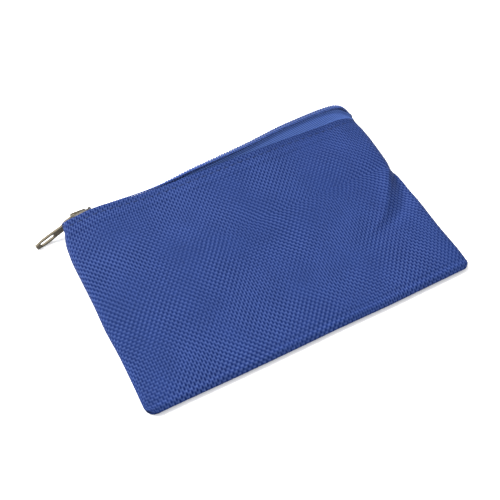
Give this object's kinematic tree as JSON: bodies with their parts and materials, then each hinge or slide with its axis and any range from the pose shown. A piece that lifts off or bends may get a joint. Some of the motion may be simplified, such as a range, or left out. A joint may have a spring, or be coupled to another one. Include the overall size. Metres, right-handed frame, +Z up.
{
  "type": "cash deposit bag",
  "caption": "Small flat zipped cash pouch of woven cloth, lying on its back with the zip open, with a slotted pull tab and a split ring on a ribbon inside.",
  "frame": {"origin": "a point near the middle of the flat face of the back panel that it rests on, 35.5 mm from the hems and 63.2 mm from the left side", "axes": "+X runs along the zip from the open slider to the closed end, +Y points out of the mouth, +Z is up through the pouch's thickness"},
  "size_m": [0.1339, 0.0838, 0.0136],
  "materials": {
    "pouch_cloth": "woven",
    "zip_tape_cloth": "ribbed",
    "coil_nylon": "satin",
    "thread": "twisted",
    "ribbon_cloth": "woven",
    "slider_metal": "antique nickel",
    "spring_steel": "plain",
    "ring_steel": "bright nickel"
  },
  "bodies": {
    "pouch": {"back_panel": "pouch_cloth", "front_panel": "pouch_cloth", "back_zip_tape": "zip_tape_cloth", "front_zip_tape": "zip_tape_cloth", "back_coil": "coil_nylon", "front_coil": "coil_nylon", "back_coil_cord": "thread", "front_coil_cord": "thread", "ring_tab": "ribbon_cloth", "ring_tab_bartack": "thread", "back_topstitch": "thread", "front_topstitch": "thread", "left_seam_thread": "thread", "right_seam_thread": "thread", "bottom_seam_thread": "thread", "left_zip_tack": "thread", "right_zip_tack": "thread"},
    "slider": {"slider_body": "slider_metal", "slider_crown": "slider_metal", "slider_lock_spring": "spring_steel"},
    "pull": {"pull_tab": "slider_metal"},
    "key_ring": {"split_ring": "ring_steel"}
  },
  "joints": [
    {"name": "zip_slide", "type": "slide", "parent": "pouch", "child": "slider", "axis": [1, 0, 0], "range_m": [0, 0.106], "deforming": ["front_zip_tape", "back_zip_tape", "front_coil", "back_coil", "front_coil_cord", "back_coil_cord"]},
    {"name": "pull_swing", "type": "hinge", "parent": "slider", "child": "pull", "pos_m": [-0.05645, 0.03965, 0.00435], "axis": [0, 0, 1], "range_deg": [-148, 0]},
    {"name": "ring_swing", "type": "hinge", "parent": "pouch", "child": "key_ring", "pos_m": [0.04705, 0.02, 0.0033], "axis": [0, 0, 1], "range_deg": [-18, 18]}
  ]
}
